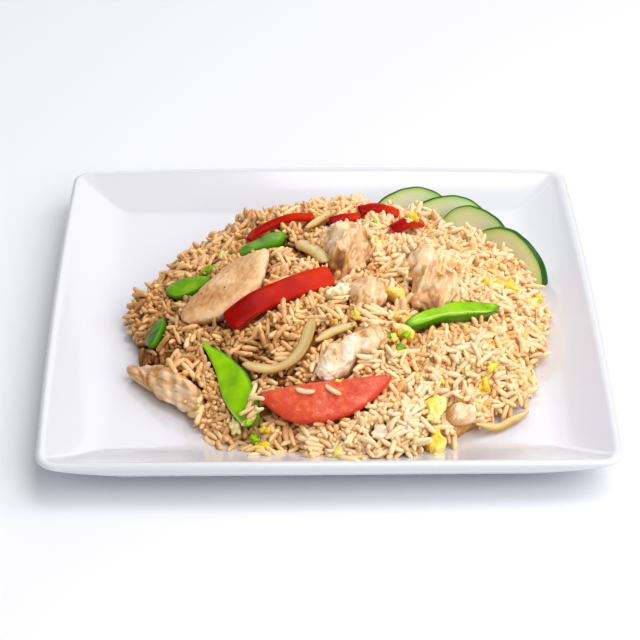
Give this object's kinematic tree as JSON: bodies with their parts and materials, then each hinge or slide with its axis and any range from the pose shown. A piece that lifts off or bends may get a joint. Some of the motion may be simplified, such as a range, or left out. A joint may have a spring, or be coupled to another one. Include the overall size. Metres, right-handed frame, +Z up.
{
  "type": "plate of fried rice",
  "caption": "Square white plate heaped with fried rice, chicken, red pepper, tomato, snow peas, onion and egg, with cucumber slices.",
  "frame": {"origin": "centre of the plate's foot ring, on the table", "axes": "+Z up; +Y away from the diner; +X to the diner's right; the cucumber slices lie towards +X and +Y"},
  "size_m": [0.274, 0.274, 0.0645],
  "materials": {
    "plate_glaze": "gloss white glaze",
    "rice": "moist fried grains",
    "chicken": "moist cooked meat, lightly browned",
    "red_pepper": "wet glossy skin",
    "tomato": "wet cut flesh",
    "snow_pea": "waxy pod skin",
    "onion": "soft translucent cooked onion",
    "egg_yolk": "scrambled egg",
    "egg_white": "scrambled egg white",
    "cucumber": "wet cut face with dark green skin"
  },
  "bodies": {
    "root": {"plate": "plate_glaze", "rice": "rice", "cucumber_slice_1": "cucumber", "cucumber_slice_2": "cucumber", "cucumber_slice_3": "cucumber", "cucumber_slice_4": "cucumber", "snow_pea_behind": "snow_pea", "snow_pea_left": "snow_pea", "snow_pea_far_left": "snow_pea", "snow_pea_right": "snow_pea", "snow_pea_front": "snow_pea", "chicken_slice_left": "chicken", "chicken_chunk_back": "chicken", "chicken_chunk_middle": "chicken", "chicken_chunk_right": "chicken", "chicken_strip_centre": "chicken", "chicken_strip_front_left": "chicken", "chicken_cube_front": "chicken", "onion_arc": "onion", "onion_back": "onion", "onion_top": "onion", "onion_leaf": "onion", "onion_sliver_right": "onion", "pepper_strip_centre": "red_pepper", "pepper_arc_back_left": "red_pepper", "pepper_strip_back": "red_pepper", "pepper_strip_far": "red_pepper", "pepper_curl_right": "red_pepper", "tomato_wedge": "tomato", "egg_white_centre": "egg_white", "egg_white_front": "egg_white", "egg_bent_right": "egg_yolk", "egg_strip_right": "egg_yolk", "egg_front_upper": "egg_yolk", "egg_front_lower": "egg_yolk"}
  },
  "joints": []
}
